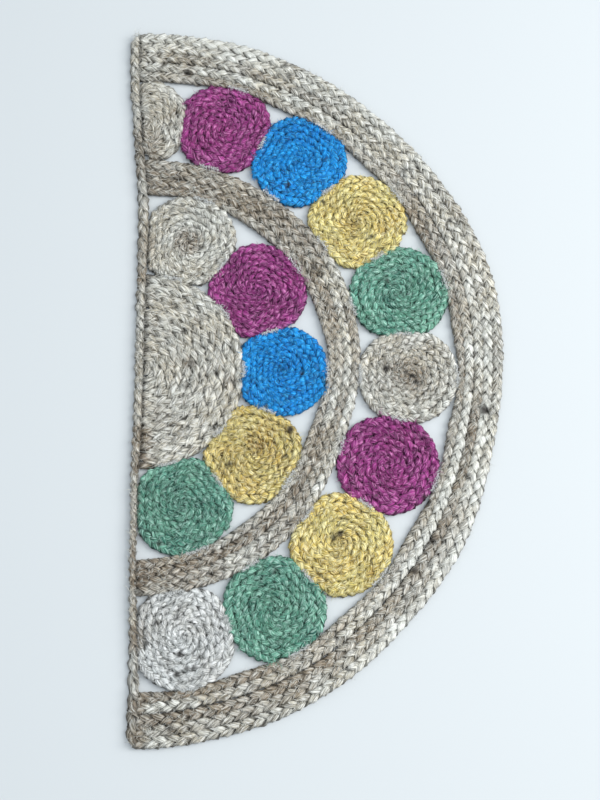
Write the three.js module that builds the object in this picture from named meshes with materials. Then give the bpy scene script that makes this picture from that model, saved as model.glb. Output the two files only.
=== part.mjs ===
// Half-round doormat of braided jute, sewn from one kind of three-strand plait.
// Fourteen coiled discs lie in two rings between two arc bands of plait rows. A half coil fills
// the middle, a smaller one fills the place of a disc at the edge, and a plait binds the straight edge.
// Millimetres. +X runs along the straight edge, -Y out to the round side, +Z up from the floor.
// The origin is at the middle of the footprint, on the floor.

import * as THREE from "three";

// Driving dimensions
const HALF_LENGTH = 448;
const THICKNESS = 9.4;
const BINDING_THICKNESS = 10.4;
const SEAM_GAP = 0.3;
const CURVED_SEAM_GAP = 0.7;
const OFFSET_FACES_GAP = 0.6;
const OUTER_BAND_ROWS = 5;
const INNER_BAND_ROWS = 4;
const CORNER_RADIUS = 13;

// How finely the pieces are cut into faces
const OUTER_STATIONS = 46;
const INNER_STATIONS = 38;
const PRESSED_ROW_FACTOR = 1.5;
const BINDING_STATIONS = 40;
const COIL_RAYS = 20;
const HALF_COIL_RAYS = 20;
const SMALL_HALF_COIL_RAYS = 12;

// Height of the grooves between the turns of a coil, as a share of the thickness
const GROOVE_HEIGHT = 0.74;

// Turns of the coils, and how much narrower the turns get towards the middle (1 is not at all)
const DISC_WINDING = { turns: 7, crowding: 1.3 };
const HALF_COIL_WINDING = { turns: 12, crowding: 1.1 };

// How far a disc presses into the plait row that it is sewn to, and over what angle
const OUTER_BAND_DENT = 5;
const OUTER_DENT_ANGLE = 5.5;
const INNER_BAND_DENT = 4;
const INNER_DENT_ANGLE = 9;

// The bands: distance from the middle of the straight edge, by angle from straight out towards +X
const OUTER_BAND = [
  { angle: -90, inner: 385, outer: 448 },
  { angle: -75, inner: 384, outer: 449 },
  { angle: -60, inner: 388, outer: 450 },
  { angle: -45, inner: 386, outer: 446 },
  { angle: -30, inner: 384, outer: 447 },
  { angle: -15, inner: 384, outer: 441 },
  { angle: 0, inner: 388, outer: 445 },
  { angle: 15, inner: 389, outer: 452 },
  { angle: 30, inner: 387, outer: 448 },
  { angle: 50, inner: 386, outer: 446 },
  { angle: 70, inner: 384, outer: 449 },
  { angle: 90, inner: 383, outer: 448 },
];
const INNER_BAND = [
  { angle: -90, inner: 232, outer: 274 },
  { angle: -60, inner: 230, outer: 277 },
  { angle: -45, inner: 229, outer: 275 },
  { angle: -30, inner: 224, outer: 268 },
  { angle: -15, inner: 225, outer: 266 },
  { angle: 0, inner: 231, outer: 272 },
  { angle: 15, inner: 232, outer: 275 },
  { angle: 30, inner: 231, outer: 278 },
  { angle: 50, inner: 230, outer: 277 },
  { angle: 90, inner: 228, outer: 274 },
];

// The straight edge: how far its outer side lies out from the middle's line, and the binding's width
const STRAIGHT_EDGE = [
  { along: -448, out: -7, width: 9 },
  { along: -377, out: -6.5, width: 10 },
  { along: -313, out: -5, width: 7.5 },
  { along: -208, out: -5, width: 7 },
  { along: -140, out: -4.5, width: 7.5 },
  { along: -90, out: -3.5, width: 9.5 },
  { along: 0, out: -2, width: 10 },
  { along: 147, out: 0, width: 11.5 },
  { along: 200, out: 0, width: 13.5 },
  { along: 248, out: -2.5, width: 12 },
  { along: 302, out: -6, width: 11 },
  { along: 357, out: -10, width: 11 },
  { along: 400, out: -12, width: 12 },
  { along: 448, out: -12, width: 11.5 },
];

// The coiled discs, from the +X end round to the -X end
const OUTER_COILS = [
  { along: 315, out: 108, radius: 60, colour: "plum" },
  { along: 269, out: 202, radius: 60, colour: "blue" },
  { along: 187, out: 273, radius: 61, colour: "straw" },
  { along: 92, out: 322, radius: 60, colour: "green" },
  { along: -13, out: 330, radius: 60, colour: "natural" },
  { along: -122, out: 302, radius: 61, colour: "plum" },
  { along: -217, out: 244, radius: 61, colour: "straw" },
  { along: -291, out: 164, radius: 61, colour: "green" },
  { along: -323, out: 57, radius: 61, colour: "bleached" },
];
const INNER_COILS = [
  { along: 164, out: 63, radius: 59, colour: "natural" },
  { along: 98, out: 148, radius: 61, colour: "plum" },
  { along: -4, out: 176, radius: 57, colour: "blue" },
  { along: -107, out: 140, radius: 60, colour: "straw" },
  { along: -168, out: 56, radius: 60, colour: "green" },
];

// The half coils, wound round a point on the binding's inner side
const CENTRE_HALF_COIL = { along: 0, radius: 121.5 };
const EDGE_HALF_COIL = { along: 326, radius: 58 };

const COLOURS = {
  natural: 0xbdb5a6,
  bleached: 0xc8c8c0,
  plum: 0x8d3f80,
  blue: 0x1f8ad6,
  straw: 0xd6bf6e,
  green: 0x5fa588,
};

// A smooth curve through one column of a table, read by the table's first column
function smoothColumn(table, place, column) {
  const places = table.map((row) => row[place]);
  const values = table.map((row) => row[column]);
  const curve = new THREE.CubicInterpolant(places, values, 1);
  return (where) => curve.evaluate(where)[0];
}

const radians = THREE.MathUtils.degToRad;
const degrees = THREE.MathUtils.radToDeg;
const outerBandInner = smoothColumn(OUTER_BAND, "angle", "inner");
const outerBandOuter = smoothColumn(OUTER_BAND, "angle", "outer");
const innerBandInner = smoothColumn(INNER_BAND, "angle", "inner");
const innerBandOuter = smoothColumn(INNER_BAND, "angle", "outer");
const edgeOut = smoothColumn(STRAIGHT_EDGE, "along", "out");
const bindingWidth = smoothColumn(STRAIGHT_EDGE, "along", "width");
const bindingInner = (along) => edgeOut(along) + bindingWidth(along);

// Angle and distance of a place in the plan, seen from the middle of the straight edge
const planAngle = (along, out) => degrees(Math.atan2(along, out));
const planPlace = (angle, distance) => ({
  along: distance * Math.sin(radians(angle)),
  out: distance * Math.cos(radians(angle)),
});

// The hollow that a ring of discs presses into the band around it
function dent(angle, coils, depth, spread) {
  const presses = coils.map((coil) => (angle - planAngle(coil.along, coil.out)) / spread);
  return depth * Math.max(...presses.map((press) => Math.exp(-press * press)));
}
const outerBandPressed = (angle) =>
  outerBandInner(angle) + dent(angle, OUTER_COILS, OUTER_BAND_DENT, OUTER_DENT_ANGLE);
const innerBandPressed = (angle) =>
  innerBandInner(angle) + dent(angle, INNER_COILS, INNER_BAND_DENT, INNER_DENT_ANGLE);

// One closed mesh from corners in the plan and triangles between them, its faces pointing out
function solid(name, corners, triangles, colour) {
  const points = corners.map((corner) => new THREE.Vector3(corner.along, -corner.out, corner.height));
  const volume = triangles.reduce((sum, [a, b, c]) => {
    const wedge = new THREE.Vector3().crossVectors(points[b], points[c]);
    return sum + points[a].dot(wedge);
  }, 0);
  const outward = volume > 0 ? triangles : triangles.map(([a, b, c]) => [a, c, b]);
  const geometry = new THREE.BufferGeometry().setFromPoints(points);
  geometry.setIndex(outward.flat());
  const material = new THREE.MeshStandardMaterial({
    color: COLOURS[colour],
    roughness: 0.9,
    metalness: 0,
  });
  const mesh = new THREE.Mesh(geometry, material);
  mesh.name = name;
  return mesh;
}

// A closed tube through sections that all have the same number of corners
function loft(name, sections, colour) {
  const count = sections[0].length;
  const triangles = [];
  for (let step = 0; step + 1 < sections.length; step += 1) {
    for (let side = 0; side < count; side += 1) {
      const next = (side + 1) % count;
      const here = step * count;
      const ahead = here + count;
      triangles.push([here + side, here + next, ahead + next]);
      triangles.push([here + side, ahead + next, ahead + side]);
    }
  }
  const last = (sections.length - 1) * count;
  for (let side = 1; side + 1 < count; side += 1) {
    triangles.push([0, side + 1, side]);
    triangles.push([last, last + side, last + side + 1]);
  }
  return solid(name, sections.flat(), triangles, colour);
}

// Section of a plait row: flat underneath, widest low down, rounded on top
const ROW_SECTION = [
  { across: 0.12, height: 0 },
  { across: 0.88, height: 0 },
  { across: 1, height: 0.36 },
  { across: 0.86, height: 0.84 },
  { across: 0.5, height: 1 },
  { across: 0.14, height: 0.84 },
  { across: 0, height: 0.36 },
];

// The angle at which a line at this distance meets the binding, at the end given by side
function endAngle(distance, side) {
  const reach = bindingInner(side * distance) + CURVED_SEAM_GAP;
  return side * degrees(Math.acos(reach / distance));
}

// One row of an arc band, between two sides given as distances by angle
function arcRow(name, innerSide, outerSide, stations, colour) {
  const sections = [];
  const first = endAngle(innerSide(-90), -1);
  const last = endAngle(innerSide(90), 1);
  for (let station = 0; station <= stations; station += 1) {
    const share = station / stations;
    const around = THREE.MathUtils.lerp(first, last, share);
    const section = ROW_SECTION.map(({ across, height }) => {
      const distance = THREE.MathUtils.lerp(innerSide(around), outerSide(around), across);
      const angle = THREE.MathUtils.lerp(endAngle(distance, -1), endAngle(distance, 1), share);
      return { ...planPlace(angle, distance), height: height * THICKNESS };
    });
    sections.push(section);
  }
  return loft(name, sections, colour);
}

// All rows of a band, from the inside out, a seam's gap apart. The first row has more stations than the
// others, so its flat faces and the second row's don't lie face to face, and their gap is wider.
function bandRows(name, rows, innerSide, outerSide, pressedSide, stations) {
  const side = (row) => (angle) =>
    row === 0
      ? pressedSide(angle)
      : THREE.MathUtils.lerp(innerSide(angle), outerSide(angle), row / rows);
  const meshes = [];
  for (let row = 0; row < rows; row += 1) {
    const near = (angle) => side(row)(angle) + SEAM_GAP / 2;
    const farGap = row === 0 ? OFFSET_FACES_GAP - SEAM_GAP / 2 : SEAM_GAP / 2;
    const far = (angle) => side(row + 1)(angle) - farGap;
    const steps = row === 0 ? Math.round(stations * PRESSED_ROW_FACTOR) : stations;
    meshes.push(arcRow(`${name}_${row + 1}`, near, far, steps, "natural"));
  }
  return meshes;
}

// The plait along the straight edge, with its outer side rounded off at both corners
function straightBinding(name) {
  const sections = [];
  for (let station = 0; station <= BINDING_STATIONS; station += 1) {
    const turn = Math.PI * (station / BINDING_STATIONS - 0.5);
    const straight = 2 * (station / BINDING_STATIONS) - 1;
    const along = HALF_LENGTH * THREE.MathUtils.lerp(straight, Math.sin(turn), 0.35);
    const fromEnd = HALF_LENGTH - Math.abs(along);
    const past = Math.max(0, CORNER_RADIUS - fromEnd);
    const rounding = CORNER_RADIUS - Math.sqrt(CORNER_RADIUS ** 2 - past ** 2);
    const outside = edgeOut(along) + Math.min(rounding, bindingWidth(along) - 2.5);
    const inside = bindingInner(along);
    const section = ROW_SECTION.map(({ across, height }) => ({
      along,
      out: THREE.MathUtils.lerp(outside, inside, across),
      height: height * BINDING_THICKNESS,
    }));
    sections.push(section);
  }
  return loft(name, sections, "natural");
}

// Heights of one ray across a coil's top: crests and grooves of the turns, then the rounded rim
function coilRay(centre, direction, reach, winding, phase) {
  const { turns, crowding } = winding;
  const place = (share) => ({
    along: centre.along + direction.along * reach * share,
    out: centre.out + direction.out * reach * share,
  });
  const ray = [];
  for (let half = 0; half / 2 + phase < turns - 0.6; half += 1) {
    const share = ((half / 2 + phase) / turns) ** crowding;
    const crest = half % 2 === 1;
    if (share > 0.02) {
      ray.push({ ...place(share), share, height: THICKNESS * (crest ? 1 : GROOVE_HEIGHT) });
    }
  }
  const lastCrest = ((turns - 0.5) / turns) ** crowding;
  ray.push({ ...place(lastCrest), share: lastCrest, height: THICKNESS });
  const shoulder = 1 - 1.6 / reach;
  ray.push({ ...place(shoulder), share: shoulder, height: THICKNESS * 0.82 });
  ray.push({ ...place(1), share: 1, height: THICKNESS * 0.36 });
  ray.push({ ...place(1 - 1.4 / reach), share: 1.01, height: 0 });
  return ray;
}

// Triangles between two neighbouring rays that start at the same corner
function stitchRays(first, second, triangles) {
  let a = 0;
  let b = 0;
  while (a + 1 < first.length || b + 1 < second.length) {
    const stepFirst =
      b + 1 === second.length || (a + 1 < first.length && first[a + 1].share <= second[b + 1].share);
    if (stepFirst) {
      triangles.push([first[a].corner, first[a + 1].corner, second[b].corner]);
      a += 1;
    } else {
      triangles.push([first[a].corner, second[b + 1].corner, second[b].corner]);
      b += 1;
    }
  }
}

// A coil's rays as numbered corners, each beginning at the shared corner in the middle of the top
function numberRays(rays, centre) {
  const corners = [
    { ...centre, height: THICKNESS * GROOVE_HEIGHT },
    { ...centre, height: 0 },
  ];
  const numbered = rays.map((ray) => {
    const line = [{ share: 0, corner: 0 }];
    ray.forEach((point) => {
      line.push({ share: point.share, corner: corners.length });
      corners.push(point);
    });
    return line;
  });
  return { corners, numbered };
}
const rimCorner = (ray) => ray[ray.length - 1].corner;

// How far a disc reaches in one direction before it meets a neighbour, a band or the binding
function coilReach(coil, direction, neighbours, isClear) {
  let reach = coil.radius;
  neighbours.forEach((other) => {
    const toOther = { along: other.along - coil.along, out: other.out - coil.out };
    const apart = Math.hypot(toOther.along, toOther.out);
    const facing = (toOther.along * direction.along + toOther.out * direction.out) / apart;
    const seam = (apart * coil.radius) / (coil.radius + other.radius) - SEAM_GAP / 2;
    if (facing > 0) {
      reach = Math.min(reach, seam / facing);
    }
  });
  let short = 0;
  let long = reach;
  const clearAt = (distance) =>
    isClear(coil.along + direction.along * distance, coil.out + direction.out * distance);
  if (clearAt(long)) {
    return long;
  }
  for (let halving = 0; halving < 20; halving += 1) {
    const middle = (short + long) / 2;
    if (clearAt(middle)) {
      short = middle;
    } else {
      long = middle;
    }
  }
  return short;
}

// A whole disc: a plait wound from the middle outwards, pressed flat where it meets its neighbours
function coiledDisc(name, coil, neighbours, isClear) {
  const rays = [];
  for (let step = 0; step < COIL_RAYS; step += 1) {
    const angle = (2 * Math.PI * step) / COIL_RAYS;
    const direction = { along: Math.sin(angle), out: Math.cos(angle) };
    const reach = coilReach(coil, direction, neighbours, isClear);
    rays.push(coilRay(coil, direction, reach, DISC_WINDING, step / COIL_RAYS));
  }
  const { corners, numbered } = numberRays(rays, { along: coil.along, out: coil.out });
  const triangles = [];
  numbered.forEach((ray, step) => {
    const next = numbered[(step + 1) % COIL_RAYS];
    stitchRays(ray, next, triangles);
    triangles.push([1, rimCorner(next), rimCorner(ray)]);
  });
  return solid(name, corners, triangles, coil.colour);
}

// A half coil: rows of plait bent round a point on the binding, cut straight where the binding lies
function halfCoil(name, coil, rayCount, winding, reachOf) {
  const slope = Math.atan2(
    bindingInner(coil.along + coil.radius) - bindingInner(coil.along - coil.radius),
    2 * coil.radius,
  );
  const rays = [];
  for (let step = 0; step <= rayCount; step += 1) {
    const angle = Math.PI * (step / rayCount - 0.5) - slope;
    const direction = { along: Math.sin(angle), out: Math.cos(angle) };
    rays.push(coilRay(coil, direction, reachOf(direction), winding, 0));
  }
  const { corners, numbered } = numberRays(rays, { along: coil.along, out: coil.out });
  const triangles = [];
  for (let step = 0; step < rayCount; step += 1) {
    stitchRays(numbered[step], numbered[step + 1], triangles);
    triangles.push([1, rimCorner(numbered[step + 1]), rimCorner(numbered[step])]);
  }
  const cutFace = (ray, flip) => {
    for (let place = 0; place + 1 < ray.length; place += 1) {
      const near = ray[place].corner;
      const far = ray[place + 1].corner;
      triangles.push(flip ? [1, far, near] : [1, near, far]);
    }
  };
  cutFace(numbered[0], true);
  cutFace(numbered[rayCount], false);
  return solid(name, corners, triangles, "natural");
}

// Where the half coils sit against the binding
const edgeClearance = (coil) => {
  const offsets = [-1, -0.5, 0, 0.5, 1].map((share) => coil.along + share * coil.radius);
  const line = (along) => {
    const low = bindingInner(coil.along - coil.radius);
    const high = bindingInner(coil.along + coil.radius);
    const share = (along - coil.along + coil.radius) / (2 * coil.radius);
    return THREE.MathUtils.lerp(low, high, share);
  };
  const bulge = Math.max(...offsets.map((along) => bindingInner(along) - line(along)));
  return line(coil.along) + bulge + SEAM_GAP;
};
const centreHalf = { ...CENTRE_HALF_COIL, out: edgeClearance(CENTRE_HALF_COIL) };
const edgeHalf = { ...EDGE_HALF_COIL, out: edgeClearance(EDGE_HALF_COIL) };

// The room that each ring of discs has
const clearOfBinding = (along, out) => out > bindingInner(along) + CURVED_SEAM_GAP;
const clearInOuterRing = (along, out) => {
  const angle = planAngle(along, out);
  const distance = Math.hypot(along, out);
  const clearOfInner = distance > innerBandOuter(angle) + CURVED_SEAM_GAP;
  const clearOfOuter = distance < outerBandPressed(angle) - CURVED_SEAM_GAP;
  return clearOfInner && clearOfOuter && clearOfBinding(along, out);
};
const clearInInnerRing = (along, out) => {
  const inside = Math.hypot(along, out) < innerBandPressed(planAngle(along, out)) - CURVED_SEAM_GAP;
  const fromHalfCoil = Math.hypot(along - centreHalf.along, out - centreHalf.out);
  const clearOfHalfCoil = fromHalfCoil > centreHalf.radius + CURVED_SEAM_GAP;
  return inside && clearOfHalfCoil && clearOfBinding(along, out);
};

const mat = new THREE.Group();
mat.add(...bandRows(
  "outer_row", OUTER_BAND_ROWS, outerBandInner, outerBandOuter, outerBandPressed, OUTER_STATIONS,
));
mat.add(...bandRows(
  "inner_row", INNER_BAND_ROWS, innerBandInner, innerBandOuter, innerBandPressed, INNER_STATIONS,
));
mat.add(straightBinding("edge_binding"));
mat.add(halfCoil(
  "centre_half_coil", centreHalf, HALF_COIL_RAYS, HALF_COIL_WINDING, () => centreHalf.radius,
));
mat.add(halfCoil(
  "edge_half_coil", edgeHalf, SMALL_HALF_COIL_RAYS, DISC_WINDING,
  (direction) => coilReach(edgeHalf, direction, [OUTER_COILS[0]], clearInOuterRing),
));
OUTER_COILS.forEach((coil, place) => {
  const neighbours = [OUTER_COILS[place - 1] ?? edgeHalf, OUTER_COILS[place + 1]].filter(Boolean);
  mat.add(coiledDisc(`outer_coil_${place + 1}`, coil, neighbours, clearInOuterRing));
});
INNER_COILS.forEach((coil, place) => {
  const neighbours = [INNER_COILS[place - 1], INNER_COILS[place + 1]].filter(Boolean);
  mat.add(coiledDisc(`inner_coil_${place + 1}`, coil, neighbours, clearInInnerRing));
});

// The footprint's middle is brought over the origin
const footprint = new THREE.Box3().setFromObject(mat);
const middle = footprint.getCenter(new THREE.Vector3());
mat.children.forEach((piece) => {
  piece.position.set(-middle.x, -middle.y, 0);
});

export default mat;
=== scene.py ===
# %% [markdown]
# # A half-round doormat of plaited jute
#
# The whole mat is sewn from one thing, a flat plait of three jute strands about 12 mm wide. Long rows of it
# make the two arc bands, coils of it make the coloured discs, and one more length binds the straight edge.
# So this scene teaches one piece of craft, a plait that follows any line, and uses it for every piece.
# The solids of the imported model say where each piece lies. They are read first, and each plaited piece
# then stands in for its solid.

import bpy
import math
import numpy as np
from mathutils import Matrix, Vector


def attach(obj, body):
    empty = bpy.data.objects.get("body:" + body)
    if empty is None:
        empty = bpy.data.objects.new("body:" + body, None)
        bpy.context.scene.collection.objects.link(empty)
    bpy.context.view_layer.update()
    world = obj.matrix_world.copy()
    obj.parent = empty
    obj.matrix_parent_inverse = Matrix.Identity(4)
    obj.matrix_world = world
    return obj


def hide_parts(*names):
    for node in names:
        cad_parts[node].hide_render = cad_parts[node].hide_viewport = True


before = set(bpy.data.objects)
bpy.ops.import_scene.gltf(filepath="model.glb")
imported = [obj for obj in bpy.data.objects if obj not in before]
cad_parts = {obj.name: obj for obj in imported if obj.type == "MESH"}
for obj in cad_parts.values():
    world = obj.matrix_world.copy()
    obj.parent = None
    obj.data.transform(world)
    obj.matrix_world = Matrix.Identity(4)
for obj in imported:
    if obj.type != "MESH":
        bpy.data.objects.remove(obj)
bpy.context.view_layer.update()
MM = 0.001
print("solids in the frame:", len(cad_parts))

# %% [markdown]
# ## Camera
#
# The picture is taken from nearly straight above, about 1.76 m away, leaning some 14 degrees so that the end
# of the mat at the top of the picture is a little further off. A lens of 65 mm on a 36 mm high sensor gives
# the same narrow perspective. The camera's own axes are worked out first, because then the small roll of a
# hand-held picture is one line. It could also be aimed with a Track To constraint, but that can't roll.

# %% Camera
LEAN = math.radians(13.85)
ROLL = math.radians(0.97)
DISTANCE = 1.756
AIM = Vector((-0.0407, 0.0185, 0.004))

level_right = Vector((0, -1, 0))
level_up = Vector((math.cos(LEAN), 0, math.sin(LEAN)))
camera_back = level_right.cross(level_up)
camera_right = level_right * math.cos(ROLL) - level_up * math.sin(ROLL)
camera_up = level_right * math.sin(ROLL) + level_up * math.cos(ROLL)
camera_turn = Matrix((camera_right, camera_up, camera_back)).transposed().to_euler()

bpy.ops.object.select_all(action="DESELECT")
bpy.ops.object.camera_add(location=AIM + camera_back * DISTANCE, rotation=camera_turn)
camera = bpy.context.active_object
camera.name = "camera"
camera.data.sensor_fit = "VERTICAL"
camera.data.sensor_height = 36
camera.data.lens = 65.25
bpy.context.scene.camera = camera
print("camera at", [round(value, 3) for value in camera.location])

# %% [markdown]
# ## Reading the lines of the solids
#
# Each plait needs a line to follow and a width along it, and both come from the solids. A row's solid has a
# crest of corners at its full height, which is the row's middle line, and a lower line of corners on each
# side where it is widest. Corners of one height are picked out with a small helper, in millimetres.
# WIDEST and GROOVE are shares of a solid's height. All the rows bend round one point, the middle of the
# straight edge just inside the binding, and MIDDLE_OF_EDGE is its place in the frame.

# %% Corners of a solid at one height
ROW_HEIGHT = 9.4
BINDING_HEIGHT = 10.4
WIDEST = 0.36
GROOVE = 0.74
MIDDLE_OF_EDGE = np.array([0.0, 216.937])
SAME_HEIGHT = 0.03


def places_of(mesh):
    """Where the corners of a mesh are, in metres"""
    places = np.zeros(len(mesh.vertices) * 3)
    mesh.vertices.foreach_get("co", places)
    return places.reshape(-1, 3)


def corners_at(node, height):
    """The corners of a solid at one height, as places in the plan, in millimetres"""
    places = places_of(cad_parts[node].data) / MM
    level = places[np.abs(places[:, 2] - height) < SAME_HEIGHT][:, :2]
    return np.unique(level.round(3), axis=0)


print("crest corners of the outermost row:", len(corners_at("outer_row_5", ROW_HEIGHT)))

# %% [markdown]
# ## One strand
#
# A strand of jute is a soft, flat bundle of fibres. Its section is an oval with a few shallow furrows, so
# that light shows the bundles running along it. It starts as a circle of ten corners, is pressed flat in
# edit mode, and becomes a curve that other curves use as their bevel. A round bevel would look like rope.

# %% Section of a strand
STRAND_HALF_WIDTH = 4.0
STRAND_HALF_THICKNESS = 2.0
SECTION_CORNERS = 10
FURROWS = [1.0, 0.9, 1.04, 0.92, 1.02, 0.93, 1.04, 0.9, 1.01, 0.95]

bpy.ops.object.select_all(action="DESELECT")
bpy.ops.mesh.primitive_circle_add(vertices=SECTION_CORNERS, radius=1)
section = bpy.context.active_object
section.name = "strand_section"
for corner, depth in zip(section.data.vertices, FURROWS):
    corner.co *= depth
bpy.ops.object.mode_set(mode="EDIT")
bpy.ops.mesh.select_all(action="SELECT")
oval = (STRAND_HALF_WIDTH * MM, STRAND_HALF_THICKNESS * MM, 1)
bpy.ops.transform.resize(value=oval, center_override=(0, 0, 0))
bpy.ops.object.mode_set(mode="OBJECT")
bpy.ops.object.convert(target="CURVE")
print("section corners:", len(section.data.splines[0].points))

# %% [markdown]
# Loose fibres and sewing thread are about half a millimetre thick, so three corners are enough for their
# section.

# %% Section of a loose fibre
FIBRE_RADIUS = 0.22
FIBRE_CORNERS = 3

bpy.ops.object.select_all(action="DESELECT")
bpy.ops.mesh.primitive_circle_add(vertices=FIBRE_CORNERS, radius=FIBRE_RADIUS * MM)
fibre_section = bpy.context.active_object
fibre_section.name = "fibre_section"
bpy.ops.object.convert(target="CURVE")
print("fibre section corners:", len(fibre_section.data.splines[0].points))

# %% [markdown]
# ## Uneven by hand
#
# No two lobes of a hand-made plait are alike. Every width, height and turn below is changed a little by
# values that wander smoothly along the plait. The random numbers start from a seed made from the piece's
# name, so each run gives the same mat.

# %% Values that wander along a line


def seeded(name):
    """A source of random numbers that is the same for one piece in every run"""
    return np.random.default_rng(sum(ord(letter) * (place + 7) for place, letter in enumerate(name)))


def eased(share):
    """A share between 0 and 1 that starts and ends gently"""
    return share * share * (3 - 2 * share)


def wander(places, spacing, rng):
    """Smooth random values between -1 and 1 that change once in each spacing"""
    places = np.asarray(places) - np.min(places)
    knots = rng.uniform(-1, 1, int(places.max() / spacing) + 3)
    before = (places / spacing).astype(int)
    share = eased(places / spacing - before)
    return knots[before] * (1 - share) + knots[before + 1] * share


print("a wandering value:", wander(np.linspace(0, 30, 4), 10, seeded("test")).round(2))

# %% [markdown]
# ## The plait
#
# In a flat plait of three, each strand swings from side to side and dips under on its way out from the
# middle. Seen from the end it draws a lying figure of eight: once to each side while it goes up and down
# twice. The three strands do the same, each a third of the way behind the last. A strand lies flat on top
# and turns over as it rounds the edge. This could be made with an array bent along a curve, but then all
# lobes would be equal, and tight coils would shear them.
# STRAY lists what strays in a hand-made plait, how far it strays, and over how many millimetres. A narrower
# plait has thinner strands, but not by its full share, which THINNING takes care of. NEXT_STRAND keeps the
# streaks of the three strands apart.

# %% Weave three strands along a line
STEPS_IN_PERIOD = 13
RISE = 2.6
TURN_SHARPNESS = 2.2
FULL_WIDTH = 12.0
THINNING = 0.7
PUFF = 0.09
BELOW_CROWN = 0.3
NEXT_STRAND = 337.0
STRAY = {
    "middle": (0.35, 30),
    "width": (0.04, 45),
    "lean": (0.12, 50),
    "height": (0.35, 60),
    "phase": (0.16, 16),
    "thickness": (0.1, 11),
    "rise": (0.12, 14),
    "turn": (0.38, 13),
}


def weave(line, width, name, crown=ROW_HEIGHT, roll=0.0, stretch=3.8, unevenness=1.0):
    """Three strands along a line of close points in millimetres. Stretch is the period in widths."""
    rng = seeded(name)
    ahead = np.gradient(line, axis=0)
    step = np.linalg.norm(ahead, axis=1)
    along = np.concatenate([[0], np.cumsum((step[1:] + step[:-1]) / 2)])
    period = stretch * width
    swing = np.concatenate([[0], np.cumsum(np.diff(along) * 2 * math.pi / period[1:])])
    even = np.linspace(0, swing[-1], int(swing[-1] / (2 * math.pi) * STEPS_IN_PERIOD) + 2)

    def at_even(values):
        return np.interp(even, swing, np.broadcast_to(values, swing.shape))

    place = at_even(along)

    def stray(measure):
        amount, spacing = STRAY[measure]
        return amount * unevenness * wander(place, spacing, rng)

    ahead = ahead / step[:, None]
    side = np.stack([at_even(ahead[:, 1]), at_even(-ahead[:, 0])], axis=1)
    middle = np.stack([at_even(line[:, 0]), at_even(line[:, 1])], axis=1)
    middle = middle + side * stray("middle")[:, None]
    across = at_even(width) * (1 + stray("width"))
    lean = at_even(roll) + stray("lean")
    lift = stray("height") - BELOW_CROWN
    strands = []
    for number in range(3):
        phase = even + number * 2 * math.pi / 3 + stray("phase")
        puffed = 1 + PUFF * np.sin(2 * phase)
        thick = (across / FULL_WIDTH) ** THINNING * puffed * (1 + stray("thickness"))
        reach = across / 2 - STRAND_HALF_THICKNESS * thick
        rise = RISE * (1 + stray("rise"))
        sideways = reach * np.cos(phase)
        upward = rise * np.sin(2 * phase)
        turned = np.tanh(TURN_SHARPNESS * np.sin(phase)) / math.tanh(TURN_SHARPNESS)
        half_height = np.hypot(reach * np.sin(lean), rise * np.cos(lean)) + STRAND_HALF_THICKNESS * thick
        height = crown + lift - half_height + sideways * np.sin(lean) + upward * np.cos(lean)
        out = sideways * np.cos(lean) - upward * np.sin(lean)
        lobes = rng.uniform(-1, 1, int(even[-1] / math.pi) + 6)
        strands.append({
            "places": np.column_stack([middle + side * out[:, None], height]),
            "tilt": math.pi / 2 * (1 - turned) - lean + stray("turn"),
            "radius": thick,
            "lobe": np.interp(phase - math.pi / 4, math.pi * np.arange(-2, len(lobes) - 2), lobes),
            "along": place + number * NEXT_STRAND,
        })
    return strands


# %% [markdown]
# The materials need to know how far along its strand a corner is, which lobe it belongs to, and where the
# mat is worn or faded. The first becomes a map in millimetres, in which each strand has a stretch of its own
# so that no two show the same streaks, and the others become attributes. Bundles of fibre then swell and
# shrink along the strand, and the underside is pressed flat against the floor, as the weight of the mat does.

# %% Marks for the materials
FLOOR_CONTACT = 0.15
ROUND_A_STRAND = 18
ROUND_A_FIBRE = 1.4
BUNDLE_LENGTH = 9
SWELLING = 0.17
NEXT_SWELLING = 1000
NEXT_ROUND = 41


def write_marks(piece, strands, corners):
    """Writes the strands' values on the mesh, as attributes and as a map in millimetres"""
    mesh = piece.data
    for mark in ("lobe", "wear", "faded"):
        values = np.concatenate([strand.get(mark, np.zeros(len(strand["tilt"]))) for strand in strands])
        attribute = mesh.attributes.new(mark, "FLOAT", "POINT")
        attribute.data.foreach_set("value", np.repeat(values, corners).astype(np.float32))
    counts = [len(strand["tilt"]) for strand in strands]
    strand_of = np.repeat(np.arange(len(strands)), np.array(counts) * corners)
    begin = np.array([strand["along"][0] for strand in strands])
    length = np.array([strand["along"][-1] for strand in strands]) - begin
    corner = np.zeros(len(mesh.loops), dtype=np.int32)
    mesh.loops.foreach_get("vertex_index", corner)
    layer = mesh.uv_layers[0]
    layer.name = "strand_map"
    uv = np.zeros(len(mesh.loops) * 2, dtype=np.float32)
    layer.data.foreach_get("uv", uv)
    uv = uv.reshape(-1, 2)
    owner = strand_of[corner]
    uv[:, 0] = begin[owner] + uv[:, 0] * length[owner]
    girth = ROUND_A_FIBRE if corners == FIBRE_CORNERS else ROUND_A_STRAND
    uv[:, 1] = uv[:, 1] * girth + owner * NEXT_ROUND
    layer.data.foreach_set("uv", uv.ravel())


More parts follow.
